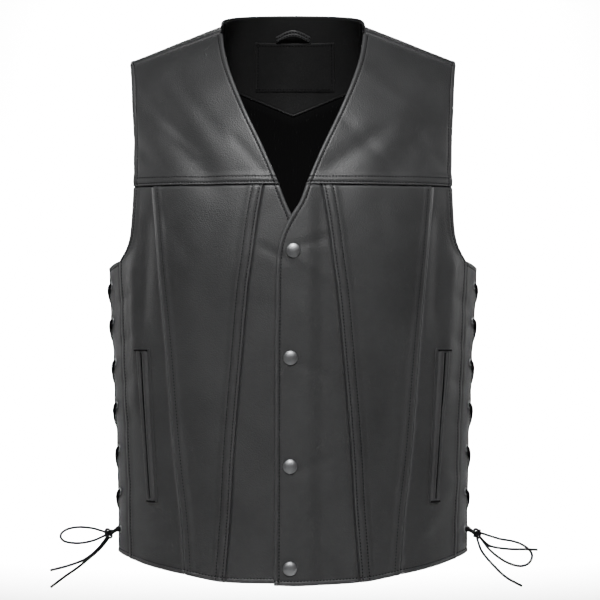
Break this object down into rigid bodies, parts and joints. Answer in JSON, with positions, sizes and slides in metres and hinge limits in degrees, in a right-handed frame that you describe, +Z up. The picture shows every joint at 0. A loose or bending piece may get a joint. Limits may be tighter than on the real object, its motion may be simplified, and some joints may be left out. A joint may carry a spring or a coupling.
{
  "type": "leather vest",
  "caption": "Sleeveless V-neck leather vest in worn shape, snapped in front and laced at both sides.",
  "frame": {"origin": "middle of the line over the two shoulders, where the wearer carries the vest", "axes": "+Z up, front of the vest towards -Y, +X to the right as seen from the front"},
  "size_m": [0.5552, 0.2512, 0.6621],
  "materials": {
    "leather": "satin",
    "lining": "matte",
    "snap_metal": "satin",
    "eyelet_metal": "satin",
    "lace": "matte"
  },
  "bodies": {
    "root": {"back_panel": "leather", "neck_facing": "leather", "label_patch": "leather", "hanger_loop": "leather", "front_yoke_left": "leather", "front_centre_left": "leather", "front_middle_left": "leather", "front_side_left": "leather", "front_lace_strip_left": "leather", "pocket_welt_left": "leather", "front_yoke_right": "leather", "front_centre_right": "leather", "front_middle_right": "leather", "front_side_right": "leather", "front_lace_strip_right": "leather", "pocket_welt_right": "leather", "lining_back": "lining", "snap_1": "snap_metal", "snap_2": "snap_metal", "snap_3": "snap_metal", "snap_4": "snap_metal", "eyelet_front_left_1": "eyelet_metal", "eyelet_front_left_2": "eyelet_metal", "eyelet_front_left_3": "eyelet_metal", "eyelet_front_left_4": "eyelet_metal", "eyelet_front_left_5": "eyelet_metal", "eyelet_front_left_6": "eyelet_metal", "eyelet_front_left_7": "eyelet_metal", "eyelet_front_right_1": "eyelet_metal", "eyelet_front_right_2": "eyelet_metal", "eyelet_front_right_3": "eyelet_metal", "eyelet_front_right_4": "eyelet_metal", "eyelet_front_right_5": "eyelet_metal", "eyelet_front_right_6": "eyelet_metal", "eyelet_front_right_7": "eyelet_metal", "eyelet_back_left_1": "eyelet_metal", "eyelet_back_left_2": "eyelet_metal", "eyelet_back_left_3": "eyelet_metal", "eyelet_back_left_4": "eyelet_metal", "eyelet_back_left_5": "eyelet_metal", "eyelet_back_left_6": "eyelet_metal", "eyelet_back_left_7": "eyelet_metal", "eyelet_back_right_1": "eyelet_metal", "eyelet_back_right_2": "eyelet_metal", "eyelet_back_right_3": "eyelet_metal", "eyelet_back_right_4": "eyelet_metal", "eyelet_back_right_5": "eyelet_metal", "eyelet_back_right_6": "eyelet_metal", "eyelet_back_right_7": "eyelet_metal", "lace_left": "lace", "lace_right": "lace", "lace_knot_left": "lace", "lace_knot_right": "lace", "bow_loop_left": "lace", "bow_loop_right": "lace", "lace_tail_a_left": "lace", "lace_tail_a_right": "lace", "lace_tail_b_left": "lace", "lace_tail_b_right": "lace"}
  },
  "joints": []
}
